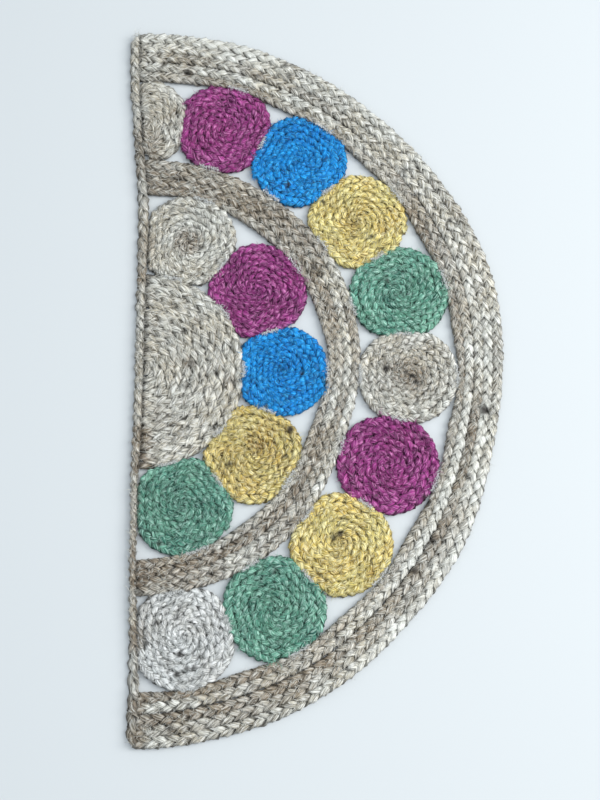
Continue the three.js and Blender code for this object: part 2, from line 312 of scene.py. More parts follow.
def roughen(piece, strands, corners, rng):
    """Bundles of fibre swell and shrink along each strand, and nothing lies lower than the floor"""
    places = places_of(piece.data).reshape(-1, corners, 3)
    middles = np.concatenate([strand["places"] for strand in strands]) * MM
    along = np.concatenate([strand["along"] + NEXT_SWELLING * place for place, strand in enumerate(strands)])
    swell = np.column_stack([wander(along, BUNDLE_LENGTH, rng) for corner in range(corners)])
    places = middles[:, None] + (places - middles[:, None]) * (1 + SWELLING * swell[:, :, None])
    places[:, :, 2] = np.maximum(places[:, :, 2], FLOOR_CONTACT * MM)
    piece.data.vertices.foreach_set("co", places.ravel())


# %% [markdown]
# The strands of a piece become the splines of one curve, with the oval section as their bevel. Their ends
# narrow to a point, so that merging the doubles closes them. The curve is then made a mesh, because only a
# mesh can carry the marks.

# %% Strands into one mesh piece
END_POINTS = 2
CLOSED = 1e-5
MERGE_DISTANCE = 1e-5


def narrowed(strand):
    """Radii that close a strand at both ends"""
    radius = strand["radius"].copy()
    fade = np.minimum(np.arange(len(radius)), np.arange(len(radius))[::-1])
    radius *= np.clip((fade + 1) / (END_POINTS + 1), 0, 1) ** 0.5
    radius[0] = radius[-1] = CLOSED
    return radius


def strands_to_piece(name, strands, bevel, corners):
    """One closed mesh per strand, all in one object, in metres"""
    curve = bpy.data.curves.new(name, "CURVE")
    curve.dimensions = "3D"
    curve.twist_mode = "Z_UP"
    curve.bevel_mode = "OBJECT"
    curve.bevel_object = bevel
    for strand in strands:
        count = len(strand["places"])
        spline = curve.splines.new("POLY")
        spline.points.add(count - 1)
        places = np.column_stack([strand["places"] * MM, np.ones(count)])
        spline.points.foreach_set("co", places.ravel())
        spline.points.foreach_set("tilt", strand["tilt"])
        spline.points.foreach_set("radius", narrowed(strand))
    piece = bpy.data.objects.new(name, curve)
    bpy.context.scene.collection.objects.link(piece)
    bpy.ops.object.select_all(action="DESELECT")
    piece.select_set(True)
    bpy.context.view_layer.objects.active = piece
    bpy.ops.object.convert(target="MESH")
    write_marks(piece, strands, corners)
    roughen(piece, strands, corners, seeded(name + "_bundles"))
    bpy.ops.object.mode_set(mode="EDIT")
    bpy.ops.mesh.select_all(action="SELECT")
    bpy.ops.mesh.remove_doubles(threshold=MERGE_DISTANCE)
    bpy.ops.mesh.normals_make_consistent(inside=False)
    bpy.ops.object.mode_set(mode="OBJECT")
    bpy.ops.object.shade_smooth()
    return piece


# %% [markdown]
# ## Jute as a material
#
# Jute is a bast fibre, long, flat and a little glossy, so a strand shows fine streaks along it, a soft sheen,
# and dark places where it dips between its neighbours, darkened further by painted shade. The undyed fibre is
# a grey beige that differs from strand to strand. The dyed ones take the dye unevenly, and the painted shade
# of the low parts leaves them paler on the crests.
# One function turns the hex values that a painter would pick into Blender's linear ones, and one adds nodes.

# %% Colour and node helpers


def linear(hex_value):
    """A hex colour as linear red, green, blue and full alpha"""
    channels = [int(hex_value[place:place + 2], 16) / 255 for place in (1, 3, 5)]
    return tuple(c / 12.92 if c < 0.04045 else ((c + 0.055) / 1.055) ** 2.4 for c in channels) + (1.0,)


def add_node(tree, kind, inputs=None, **settings):
    """Adds a node, sets it, and fills each input with a value or a link"""
    node = tree.nodes.new(kind)
    for name, value in settings.items():
        setattr(node, name, value)
    for socket, value in (inputs or {}).items():
        if isinstance(value, bpy.types.NodeSocket):
            tree.links.new(value, node.inputs[socket])
        else:
            node.inputs[socket].default_value = value
    return node


print("white in linear values:", linear("#ffffff"))

# %% [markdown]
# The streaks are noise stretched along the strand's own map, which is in millimetres. Real fibres are finer
# than the picture shows, so they are drawn as bundles about 1.7 mm wide and 16 mm long. Where the noise
# crosses its middle value there is a thin line. Such lines become painted shade in the splits between
# bundles, and a painted highlight, the pale shine of single fibres. A wide soft noise makes some parts of the
# mat warmer in colour. The depth of a place comes from its height in the mat, and painted shade darkens the
# low parts between the lobes.

# %% Streaks and thin lines
BUNDLE_WIDTH = 1.7
BUNDLE_REACH = 16.0


def streak_noise(tree, width, reach, detail):
    """Noise drawn out along the strand, with sizes in millimetres"""
    uv = add_node(tree, "ShaderNodeUVMap", uv_map="strand_map")
    stretched = add_node(tree, "ShaderNodeMapping", {
        "Vector": uv.outputs["UV"], "Scale": (1 / reach, 1 / width, 1)})
    noise = add_node(tree, "ShaderNodeTexNoise", {
        "Vector": stretched.outputs["Vector"], "Scale": 1.0, "Detail": detail, "Roughness": 0.65})
    return noise.outputs["Fac"]


def thin_lines(tree, noise, width, strength):
    """A thin line wherever the noise crosses its middle value, and the distance from that line"""
    off_middle = add_node(tree, "ShaderNodeMath", {0: noise, 1: 0.5}, operation="SUBTRACT")
    from_line = add_node(tree, "ShaderNodeMath", {0: off_middle.outputs[0]}, operation="ABSOLUTE")
    line = add_node(tree, "ShaderNodeMapRange", {
        "Value": from_line.outputs[0], "From Min": 0.0, "From Max": width, "To Min": strength, "To Max": 0.0})
    return line.outputs["Result"], from_line.outputs[0]


print("bundles", BUNDLE_WIDTH, "mm wide and", BUNDLE_REACH, "mm long")

# %% [markdown]
# Whether a place is pale or deep in tone adds up from the streaks, the lobe it belongs to, and soft patches
# about 17 mm across.

# %% Tone of the fibre
PATCHES_IN_A_METRE = 60.0


def fibre_tone(tree, place, streaks):
    """How pale each place is, from 0 to 1"""
    patches = add_node(tree, "ShaderNodeTexNoise", {
        "Vector": place.outputs["Object"], "Scale": PATCHES_IN_A_METRE, "Detail": 3.0, "Roughness": 0.6})
    lobe = add_node(tree, "ShaderNodeAttribute", attribute_name="lobe")
    from_lobe = add_node(tree, "ShaderNodeMath", {
        0: lobe.outputs["Fac"], 1: 0.17, 2: 0.0}, operation="MULTIPLY_ADD")
    streaked = add_node(tree, "ShaderNodeMath", {
        0: streaks, 1: 2.2, 2: from_lobe.outputs[0]}, operation="MULTIPLY_ADD")
    patched = add_node(tree, "ShaderNodeMath", {
        0: patches.outputs["Fac"], 1: 0.7, 2: streaked.outputs[0]}, operation="MULTIPLY_ADD")
    tone = add_node(tree, "ShaderNodeMapRange", {
        "Value": patched.outputs[0], "From Min": 0.95, "From Max": 1.95})
    return tone.outputs["Result"]


# %% [markdown]
# The colour is then laid on in layers, each over the one before. Clean fibre has three tones and parts that
# are warmer over some 35 mm, and over it comes a painted highlight, the glint of single fibres.
# The Mix node has sockets of the same name for numbers and for colours, so they are chosen by number here.

# %% Colour of clean fibre and its painted glint
WARM_PATCHES_IN_A_METRE = 28.0
MIX_SHARE = 0
MIX_UNDER = 6
MIX_OVER = 7
MIX_RESULT = 2


def clean_fibre_and_glint(tree, place, tone, colour):
    """The colour of new jute, with a painted highlight for the glint of single fibres"""
    ramp = add_node(tree, "ShaderNodeValToRGB", {"Fac": tone})
    ramp.color_ramp.elements[0].color = colour["deep"]
    ramp.color_ramp.elements[0].position = 0.1
    ramp.color_ramp.elements[1].color = colour["pale"]
    ramp.color_ramp.elements[1].position = 0.88
    ramp.color_ramp.elements.new(0.47).color = colour["middle"]
    warm = add_node(tree, "ShaderNodeTexNoise", {
        "Vector": place.outputs["Object"], "Scale": WARM_PATCHES_IN_A_METRE, "Detail": 2.0, "Roughness": 0.5})
    warmth = add_node(tree, "ShaderNodeMapRange", {
        "Value": warm.outputs["Fac"], "From Min": 0.42, "From Max": 0.62, "To Min": 0.0, "To Max": 1.0})
    tinted = add_node(tree, "ShaderNodeMix", {
        MIX_SHARE: warmth.outputs["Result"], MIX_UNDER: ramp.outputs["Color"], MIX_OVER: colour["tint"]},
        data_type="RGBA", blend_type="MULTIPLY")
    # Painted highlight: thin lines of the glint colour stand in for light shining off single fibres.
    shine = thin_lines(tree, streak_noise(tree, 2.6, 12.0, 1.0), 0.07, 0.75)[0]
    shiny = add_node(tree, "ShaderNodeMix", {
        MIX_SHARE: shine, MIX_UNDER: tinted.outputs[MIX_RESULT], MIX_OVER: colour["glint"]}, data_type="RGBA")
    return shiny.outputs[MIX_RESULT]


# %% [markdown]
# Over the clean fibre comes painted shade in the splits between its bundles, then fading, and then wear,
# which soaks in between the bundles more than it lies on their backs.

# %% Painted shade in the splits, fading and wear


def used_and_split_shaded_fibre(tree, clean_and_glint, tone, split_shade, colour):
    """The colour of jute that has lain at a door for a while, with painted shade in the splits between its
    bundles
    """
    # Painted shade: thin dark lines of the crevice colour lie in the splits between bundles.
    with_split_shade = add_node(tree, "ShaderNodeMix", {
        MIX_SHARE: split_shade, MIX_UNDER: clean_and_glint, MIX_OVER: colour["crevice_shade"]}, data_type="RGBA")
    fading = add_node(tree, "ShaderNodeAttribute", attribute_name="faded")
    faded = add_node(tree, "ShaderNodeMix", {
        MIX_SHARE: fading.outputs["Fac"], MIX_UNDER: with_split_shade.outputs[MIX_RESULT],
        MIX_OVER: colour["pale"]}, data_type="RGBA")
    soaking = add_node(tree, "ShaderNodeMapRange", {"Value": tone, "To Min": 1.9, "To Max": 0.25})
    wearing = add_node(tree, "ShaderNodeAttribute", attribute_name="wear")
    wear = add_node(tree, "ShaderNodeMath", {
        0: wearing.outputs["Fac"], 1: soaking.outputs["Result"]}, operation="MULTIPLY", use_clamp=True)
    worn_down = add_node(tree, "ShaderNodeMix", {
        MIX_SHARE: wear.outputs[0], MIX_UNDER: faded.outputs[MIX_RESULT], MIX_OVER: colour["worn"]},
        data_type="RGBA", blend_type="MULTIPLY")
    return worn_down.outputs[MIX_RESULT]


# %% [markdown]
# Last come the painted shade of the low parts, and the flecks of bark together with the painted shade of the
# seam beside the binding. Streaks and splits also raise and lower the surface a little, so that light catches
# the bundles. The finish is matt, with a faint fibre sheen.

# %% Jute material
COLOUR_NAMES = ("glint", "pale", "middle", "deep", "crevice_shade", "worn", "tint")
BARK_AND_SEAM_SHADE = "#26211c"
DARK_BELOW = 3.5
LIT_ABOVE = 7.8
RELIEF = 1.2


def plaited_jute(name, depth, *colours):
    """Matt bast fibre with streaks, uneven lobes, worn parts, flecks of bark, a painted glint, and painted
    shade in its crevices and in the seam beside the binding
    """
    colour = dict(zip(COLOUR_NAMES, map(linear, colours)))
    material = bpy.data.materials.new(name)
    material.use_nodes = True
    tree = material.node_tree
    tree.nodes.clear()
    place = add_node(tree, "ShaderNodeTexCoord")
    streaks = streak_noise(tree, BUNDLE_WIDTH, BUNDLE_REACH, 3.0)
    splits = streak_noise(tree, BUNDLE_WIDTH * 1.3, BUNDLE_REACH * 1.4, 1.0)
    split_shade, off_split = thin_lines(tree, splits, 0.06, 0.8)
    tone = fibre_tone(tree, place, streaks)
    clean_and_glint = clean_fibre_and_glint(tree, place, tone, colour)
    used_and_split_shaded = used_and_split_shaded_fibre(tree, clean_and_glint, tone, split_shade, colour)
    # Painted shade: the lower a place lies in the mat, the more the crevice colour covers it.
    height = add_node(tree, "ShaderNodeSeparateXYZ", {"Vector": place.outputs["Object"]})
    painted_low_shade = add_node(tree, "ShaderNodeMapRange", {
        "Value": height.outputs["Z"], "From Min": DARK_BELOW * MM, "From Max": LIT_ABOVE * MM,
        "To Min": depth, "To Max": 0.0})
    shaded = add_node(tree, "ShaderNodeMix", {
        MIX_SHARE: painted_low_shade.outputs["Result"], MIX_UNDER: used_and_split_shaded, MIX_OVER: colour["crevice_shade"]}, data_type="RGBA")
    # Painted shade: the seam beside the binding is darkened with the bark colour, through the same attribute
    # as the flecks of bark.
    bark_and_seam_mark = add_node(tree, "ShaderNodeAttribute", attribute_name="fleck")
    flecked_and_seam_shaded = add_node(tree, "ShaderNodeMix", {
        MIX_SHARE: bark_and_seam_mark.outputs["Fac"], MIX_UNDER: shaded.outputs[MIX_RESULT], MIX_OVER: linear(BARK_AND_SEAM_SHADE)},
        data_type="RGBA")
    ridges = add_node(tree, "ShaderNodeMath", {
        0: off_split, 1: 2.5, 2: streaks}, operation="MULTIPLY_ADD")
    relief = add_node(tree, "ShaderNodeBump", {
        "Height": ridges.outputs[0], "Strength": 0.7, "Distance": RELIEF * MM})
    shader = add_node(tree, "ShaderNodeBsdfPrincipled", {
        "Base Color": flecked_and_seam_shaded.outputs[MIX_RESULT], "Roughness": 0.6, "IOR": 1.5,
        "Specular IOR Level": 0.35, "Sheen Weight": 0.05, "Sheen Roughness": 0.5,
        "Normal": relief.outputs["Normal"]})
    add_node(tree, "ShaderNodeOutputMaterial", {"Surface": shader.outputs["BSDF"]})
    return material


# %% [markdown]
# Six kinds are used. Natural jute is retted in water and dried, which leaves it grey beige, and the paler
# kind is bleached a little. The dyed ones are dipped as loose hanks, so each lobe takes a different depth.
# The number of a kind is how dark the painted shade of its low parts gets. Its colours follow in the order of
# COLOUR_NAMES. The glint is a painted highlight, and the crevice colour is the painted shade of the splits
# and the low parts. Worn and tint are multiplied with the colour below them, and the others cover it.

# %% The six kinds of jute
COLOURS = {
    "natural_jute": (0.8, "#fdfdf8", "#fafbf4", "#d1d0c5", "#8e887b", "#403b33", "#aea092", "#f4ede2"),
    "bleached_jute": (0.8, "#fafbfb", "#f6f8f7", "#e0e3e0", "#a2a4a0", "#4d4d49", "#b4aca2", "#f8f5f2"),
    "plum_jute": (0.85, "#e494ca", "#c24fa4", "#8c2876", "#4f0e40", "#2e0a29", "#a8a0b0", "#f4dcea"),
    "blue_jute": (0.85, "#48c2f9", "#14acf9", "#0493e6", "#02366e", "#021e42", "#9fb0b8", "#dcf0fc"),
    "straw_jute": (0.8, "#fffad0", "#fff6b8", "#f0de82", "#a78b40", "#4a3a18", "#b8a8a0", "#fdf0d8"),
    "green_jute": (0.85, "#c6ecdc", "#9cd8be", "#5c9c82", "#2e6459", "#12332c", "#b4b8bc", "#e4f2f6"),
}
KINDS = {name: plaited_jute(name, *values) for name, values in COLOURS.items()}
print("materials:", ", ".join(KINDS))

# %% [markdown]
# ## Loose fibres
#
# Jute is hairy. Short fibres lift off the tops of the lobes and cross the dark gaps, and that is much of
# what makes it look like jute and not like cord. Each starts on a strand, runs roughly along it for about
# a centimetre, bends a little, and ends in the air. They could be a particle system, but that isn't kept
# when the model is exported, so they are thin curves, made a mesh like the strands. Lengths and widths
# are given as the smallest and the largest value.

# %% Loose fibres along the strands
FIBRE_SPACING = 5.0
FIBRE_POINTS = 3
FIBRE_LENGTH = (5, 13)
FIBRE_TURN = 0.5
FIBRE_BEND = 0.6
FIBRE_END_RISE = (-0.6, 1.3)
FIBRE_ARCH = 0.5
FIBRE_SIDESTEP = (-1.5, 1.5)
FIBRE_THICKNESS = (0.9, 1.9)
FIBRE_TONE = (0.2, 2.4)
FIBRE_FADING = (0.4, 1.0)
TOPS_OF_LOBES = 5.6


def loose_fibres(strands, rng):
    """Short thin strands that lift off the lobes"""
    fibres = []
    for strand in strands:
        places = strand["places"]
        ahead = np.gradient(places, axis=0)
        high = np.flatnonzero(places[:, 2] > min(TOPS_OF_LOBES, places[:, 2].max() - 0.5))
        run = np.linalg.norm(ahead, axis=1).sum()
        for start in rng.choice(high, int(run / FIBRE_SPACING)):
            heading = math.atan2(ahead[start, 1], ahead[start, 0]) + rng.normal(0, FIBRE_TURN)
            share = np.linspace(0, 1, FIBRE_POINTS)
            reach = rng.uniform(*FIBRE_LENGTH) * share
            bend = heading + rng.normal(0, FIBRE_BEND) * share
            top = places[start] + (0, 0, STRAND_HALF_THICKNESS * strand["radius"][start] * 0.85)
            rise = rng.uniform(*FIBRE_END_RISE) * share + FIBRE_ARCH * np.sin(share * math.pi)
            line = np.column_stack([np.cos(bend) * reach, np.sin(bend) * reach, rise]) + top
            line[:, :2] += rng.uniform(*FIBRE_SIDESTEP, 2)
            fibres.append({
                "places": line,
                "tilt": np.zeros(FIBRE_POINTS),
                "radius": np.full(FIBRE_POINTS, rng.uniform(*FIBRE_THICKNESS)),
                "lobe": np.full(FIBRE_POINTS, rng.uniform(*FIBRE_TONE)),
                "along": reach + 50 * start,
                "faded": np.full(FIBRE_POINTS, rng.uniform(*FIBRE_FADING)),
            })
    return fibres


# %% [markdown]
# ## Wear and flecks
#
# The mat isn't even in colour. Some rows are darker and browner for part of their length, the outermost
# rows are paler, a few coils are dull in the middle, and here and there sits a dark knot or a fleck of
# bark. A stretch of a row is given by its first and last angle round the middle of the straight edge, in
# degrees from straight out, and by how strong it is.

# %% Wear by row and angle
BROWN_STRETCHES = [
    ("outer_row_1", -90, -64, 0.85), ("outer_row_1", -64, -50, 0.5), ("outer_row_1", -50, 90, 0.36),
    ("outer_row_1", 18, 32, 0.8), ("outer_row_1", 64, 80, 0.65), ("outer_row_1", -8, 16, 0.6),
    ("outer_row_2", -80, -54, 0.35), ("outer_row_2", 6, 18, 0.35), ("outer_row_2", 18, 40, 0.5),
    ("outer_row_3", -90, -54, 0.85), ("outer_row_3", -54, -16, 0.62), ("outer_row_3", -16, -6, 0.75),
    ("outer_row_3", 50, 90, 0.3), ("outer_row_4", -90, -54, 0.4), ("outer_row_4", -54, -20, 0.25),
    ("outer_row_5", -90, -66, 0.1), ("outer_row_5", -6, 6, 0.2), ("outer_row_5", 18, 34, 0.2),
    ("inner_row_1", -90, -66, 0.6), ("inner_row_1", -66, -30, 0.3), ("inner_row_1", -30, 14, 0.5),
    ("inner_row_1", 14, 78, 0.5), ("inner_row_1", 66, 90, 0.8), ("inner_row_2", -90, -54, 0.95),
    ("inner_row_2", -54, -18, 0.75), ("inner_row_2", -6, 8, 0.35), ("inner_row_2", 8, 90, 0.72),
    ("inner_row_3", -90, -66, 0.6), ("inner_row_3", -54, -42, 0.45), ("inner_row_3", -42, -6, 0.55),
    ("inner_row_3", 28, 90, 0.7), ("inner_row_4", -90, -66, 0.55), ("inner_row_4", -56, -40, 0.6),
    ("inner_row_4", -6, 18, 0.5), ("inner_row_4", 30, 90, 0.55), ("edge_binding", -90, 90, 0.2),
]
PALE_STRETCHES = [
    ("outer_row_2", -46, -4, 0.3), ("outer_row_3", 8, 17, 0.4), ("outer_row_4", -36, -6, 0.3),
    ("outer_row_4", -5, 6, 0.45), ("outer_row_4", 66, 80, 0.3), ("outer_row_5", -54, -16, 0.45),
    ("outer_row_5", 42, 54, 0.3), ("outer_row_5", 66, 80, 0.5), ("inner_row_4", -18, -8, 0.25),
]
SOFT_END = 5.0


def direction_of(off):
    """The angle of each offset in the plan, from straight out towards the round side"""
    return np.arctan2(off[:, 0], -off[:, 1])


def stretch_share(stretches, node, angle):
    """How strongly the stretches of one row cover each angle, in degrees"""
    share = np.zeros(len(angle))
    for row, first, last, amount in stretches:
        if row == node:
            inside = np.minimum(angle - first, last - angle) / SOFT_END
            share = np.maximum(share, amount * np.clip(inside + 0.5, 0, 1))
    return share


# %% [markdown]
# Round places are given in the plan: millimetres along the straight edge, millimetres out from it, the
# radius, and how strong the place is. The wide faint ones dull a whole disc. The dark knots are listed one by
# one, and the small flecks of bark are scattered by chance, as they are in real jute. A higher SPOT_EDGE
# makes the edges of all of them crisper. Wear and fading differ a little from lobe to lobe.

# %% Worn and dark places in the plan
SPOT_EDGE = 5
UNEVEN_WEAR = 0.5
WORN_PLACES = [
    (-13, 330, 26, 0.75), (163, 61, 18, 0.75), (-97, 145, 17, 0.7), (187, 273, 14, 0.4), (92, 322, 24, 0.45),
    (-168, 56, 14, 0.5), (-4, 176, 12, 0.3), (98, 150, 13, 0.35), (-60, 30, 16, 0.4), (-17, 114, 12, 0.5),
    (326, 40, 22, 0.35), (-78, 186, 9, 0.6), (-291, 164, 14, 0.3), (-217, 244, 14, 0.3),
    (-240, 4, 26, 1.5), (-200, 4, 22, 0.45), (-160, 4, 26, 0.4), (-116, 4, 16, 1), (-84, 4, 18, 0.9),
    (-322, 0, 18, 0.8), (-282, 0, 18, 0.4), (-436, 0, 20, 0.7), (-402, 0, 14, 0.8), (-40, 2, 14, 0.4),
    (122, 2, 16, 0.9), (160, 2, 22, 0.55), (286, 2, 36, 0.7),
    (392, 62, 14, 0.5), (8, 62, 8, 0.6), (-13, 330, 60, 0.2), (-107, 140, 60, 0.3), (-168, 56, 60, 0.3),
    (-291, 164, 60, 0.2), (0, 8, 122, 0.15), (326, 8, 60, 0.2),
]
KNOTS = [
    (-58, 421, 6.5, 1), (-170, 347, 5, 1), (-4, 304, 5, 1), (-14, 336, 3.5, 1), (-22, 340, 3.5, 0.95),
    (-9, 328, 3, 0.8), (-205, 243, 4.5, 0.95), (-210, 236, 3.5, 0.9), (-231, 240, 3, 0.7),
    (-78, 186, 4.5, 0.95), (-119, 113, 4, 0.9), (-299, 51, 3, 0.8), (-306, 27, 3.5, 0.8), (-329, 16, 3, 0.8),
    (-343, 54, 4, 0.95), (-359, 62, 3, 0.8), (-366, 51, 4, 0.9), (7, 68, 3.5, 0.8), (-6, 97, 3.5, 0.95),
    (-205, 6, 4.5, 0.95), (-225, 18, 4.5, 0.95), (-277, 15, 4, 0.95), (122, 16, 4.5, 0.95),
    (392, 62, 4.5, 0.9), (-140, 397, 4, 0.7), (-215, 352, 4.5, 0.9), (30, 425, 4.5, 0.6),
    (252, 332, 4.5, 0.7), (-250, 330, 4.5, 0.9),
]
SMALL_FLECKS = 40
SMALL_FLECK = (3.3, 0.85)
FLECKED_RADIUS = 445


def scattered_flecks(rng):
    """Small flecks of bark at places of their own, all over the half circle"""
    flecks = []
    for _ in range(SMALL_FLECKS):
        angle = rng.uniform(-math.pi / 2, math.pi / 2)
        away = FLECKED_RADIUS * math.sqrt(rng.uniform(0, 1))
        flecks.append((away * math.sin(angle), away * math.cos(angle), *SMALL_FLECK))
    return flecks


FLECKS = KNOTS + scattered_flecks(seeded("small_flecks"))
print("knots and flecks:", len(FLECKS))


def place_share(spots, places):
    """How strongly round spots cover each place"""
    along = places[:, 0] - MIDDLE_OF_EDGE[0]
    out = MIDDLE_OF_EDGE[1] - places[:, 1]
    share = np.zeros(len(places))
    for spot_along, spot_out, radius, amount in spots:
        off = np.hypot(along - spot_along, out - spot_out) / radius
        share = np.maximum(share, amount * np.exp(-off ** SPOT_EDGE))
    return share


def colour_strands(strands, node):
    """Adds wear and fading to the strands of one piece"""
    for strand in strands:
        places = strand["places"]
        around = np.degrees(direction_of(places[:, :2] - MIDDLE_OF_EDGE))
        uneven = 1 + UNEVEN_WEAR * strand["lobe"]
        brown = stretch_share(BROWN_STRETCHES, node, around)
        strand["wear"] = np.clip(np.maximum(brown, place_share(WORN_PLACES, places)) * uneven, 0, 0.95)
        strand["faded"] = np.clip(stretch_share(PALE_STRETCHES, node, around) * uneven, 0, 0.9)


# %% [markdown]
# Dust gathers in the seam beside the binding, and the shade that falls there is painted too, as a thin dark
# line all along the straight edge. The binding's solid has two corners at each of its stations where it is
# widest, and the one further from the edge lies on the seam.

# %% The seam beside the binding
PAINTED_SEAM_SHADE = 0.65
SEAM_REACH = 1.8
BINDING_COVER = 1.2

binding_sides = corners_at("edge_binding", WIDEST * BINDING_HEIGHT)
seam_line = binding_sides[::2] - (0, BINDING_COVER)


def seam_shade_share(places):
    """How much painted shade and dust darken each place because it lies in the seam beside the binding"""
    off = (places[:, 1] - np.interp(places[:, 0], seam_line[:, 0], seam_line[:, 1])) / SEAM_REACH
    return PAINTED_SEAM_SHADE * np.exp(-off ** 2)


print(len(seam_line), "places on the seam, the first at", seam_line[0].round(1))

# %% [markdown]
# The strands and the loose fibres of a piece are two meshes, joined into one. Flecks and the painted shade of
# the seam are narrower than a strand, so they are marked corner by corner on the finished mesh.

# %% Plaited piece


def mark_flecks_and_seam_shade(piece):
    """Writes the dark knots, the flecks of bark and the painted shade of the seam on a mesh"""
    places = places_of(piece.data) / MM
    attribute = piece.data.attributes.new("fleck", "FLOAT", "POINT")
    dark = np.maximum(place_share(FLECKS, places), seam_shade_share(places))
    attribute.data.foreach_set("value", dark.astype(np.float32))


def plaited_piece(node, strands):
    """The strands of one piece with their fibres and colours, as one object"""
    colour_strands(strands, node)
    fibres = loose_fibres(strands, seeded(node + "_fibres"))
    hair = strands_to_piece(f"{node}_hair", fibres, fibre_section, FIBRE_CORNERS)
    piece = strands_to_piece(f"{node}_plait", strands, section, SECTION_CORNERS)
    hair.select_set(True)
    bpy.context.view_layer.objects.active = piece
    bpy.ops.object.join()
    mark_flecks_and_seam_shade(piece)
    return piece


# %% [markdown]
# Each finished piece gets its material, rides on the mat's one body, and stands in for its solid.

# %% Finish a piece
made = {}


def finish_piece(piece, kind, *nodes):
    """Material, body and solids of one piece"""
    piece.data.materials.append(KINDS[kind])
    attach(piece, "root")
    if nodes:
        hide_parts(*nodes)
    triangles = sum(len(face.vertices) - 2 for face in piece.data.polygons)
    made[piece.name] = triangles
    print(piece.name, triangles, "triangles")


# %% [markdown]
# ## The rows of the two bands
#
# Nine rows bend round the middle of the straight edge, five outside and four inside. The crest of each
# solid gives the line, read by its angle, and the side corners give the width. Each line runs on past both
# ends of its solid, because a real row is tucked in under the binding. The seam between the second and the
# third outer row is pulled open a little in the real mat, so those two rows draw back from it.

# %% Rows
BAND_STRETCH = 3.85
ROW_OVERLAP = 1.0
TUCK = 4.0
LINE_STEP = 0.5
SMOOTHED_STEPS = 61
OPEN_SEAMS = {"outer_row_2": -0.3, "outer_row_3": 0.3}


def places_round(middle, angle, away):
    """The places at these angles round a point and this far from it"""
    return np.column_stack([np.sin(angle) * away, -np.cos(angle) * away]) + middle


def row_line(node):
    """Middle line and width of an arc row, from its solid"""
    crest = corners_at(node, ROW_HEIGHT) - MIDDLE_OF_EDGE
    sides = corners_at(node, ROW_HEIGHT * WIDEST) - MIDDLE_OF_EDGE
    crest_angle = direction_of(crest)
    side_angle = direction_of(sides)
    order = np.argsort(crest_angle)
    distance = np.linalg.norm(crest, axis=1)[order]
    crest_angle = crest_angle[order]
    off = np.abs(np.linalg.norm(sides, axis=1) - np.interp(side_angle, crest_angle, distance))
    side_order = np.argsort(side_angle)
    tuck = TUCK / distance.mean()
    steps = int(distance.mean() * math.pi / LINE_STEP)
    angle = np.linspace(crest_angle[0] - tuck, crest_angle[-1] + tuck, steps)
    away = np.interp(angle, crest_angle, distance)
    half = np.interp(angle, side_angle[side_order], off[side_order])
    smooth = np.ones(SMOOTHED_STEPS) / SMOOTHED_STEPS
    half = np.convolve(np.pad(half, SMOOTHED_STEPS // 2, mode="edge"), smooth, mode="valid")
    shift = OPEN_SEAMS.get(node, 0.0)
    away = away + shift
    return places_round(MIDDLE_OF_EDGE, angle, away), 2 * (half - abs(shift)) + ROW_OVERLAP


for band, rows in (("outer_row", 5), ("inner_row", 4)):
    for row in range(1, rows + 1):
        node = f"{band}_{row}"
        line, width = row_line(node)
        strands = weave(line, width, node, stretch=BAND_STRETCH)
        finish_piece(plaited_piece(node, strands), "natural_jute", node)

# %% [markdown]
# ## The binding
#
# One plait runs along the straight edge and covers the ends of all the rows. It is sewn on leaning, so from
# above one column of its lobes shows more than the other. Towards the lower end of the picture it lies
# flatter and covers a few millimetres more.

# %% Binding
BINDING_LEAN = math.radians(38)
BINDING_STRETCH = 4.2
BINDING_OVERLAP = 1.0
BINDING_END = 3
FLATTENING = 3.5
FLATTENING_START = -270
FLATTENING_LENGTH = 70

crest = corners_at("edge_binding", BINDING_HEIGHT)
sides = corners_at("edge_binding", BINDING_HEIGHT * WIDEST)
along = np.arange(crest[:, 0].min() + BINDING_END, crest[:, 0].max() - BINDING_END, LINE_STEP)
stations = np.unique(sides[:, 0])
widths = [np.ptp(sides[sides[:, 0] == station][:, 1]) for station in stations]
line = np.column_stack([along, np.interp(along, crest[:, 0], crest[:, 1])])
flatter = FLATTENING * np.clip((FLATTENING_START - along) / FLATTENING_LENGTH, 0, 1)
width = np.interp(along, stations, widths) + BINDING_OVERLAP + flatter
line[:, 1] -= flatter / 2
strands = weave(
    line, width, "edge_binding", crown=BINDING_HEIGHT, roll=BINDING_LEAN, stretch=BINDING_STRETCH)
finish_piece(plaited_piece("edge_binding", strands), "natural_jute", "edge_binding")

# %% [markdown]
# ## The coiled discs
#
# A disc is a plait wound from the middle outwards and sewn to itself, and its end is pinched in beside the
# turn before. The outline is the rim of the solid, by direction. Every turn then gets its share of the way
# from the middle to the rim. The shares change slowly round the disc, so the spiral still ends in a round
# outline. A plait can't bend tightly while it lies flat, so the inner turns are narrower and stand up on
# their side, and then show one column of long thin lobes.
# CROWDING above 1 gives the inner turns less room than the outer ones. MIDDLE_PULL draws the first turn in,
# over about PULLED_TURNS of a turn, so that no hole is left. PINCHED is the share of the last turn in which
# the end narrows. A floor corner that lies in the groove at the middle marks where a disc's middle is.

# %% Spiral of a disc
COIL_REACH = 0.35
COIL_OVERLAP = 1.05
CROWDING = 1.3
MIDDLE_PULL = 1.0
PULLED_TURNS = 0.6
INNERMOST = 0.25
PINCHED = 0.2
NARROWEST = 3.0
PLAIT_WIDTH = 10.6
STEEPEST = 0.45


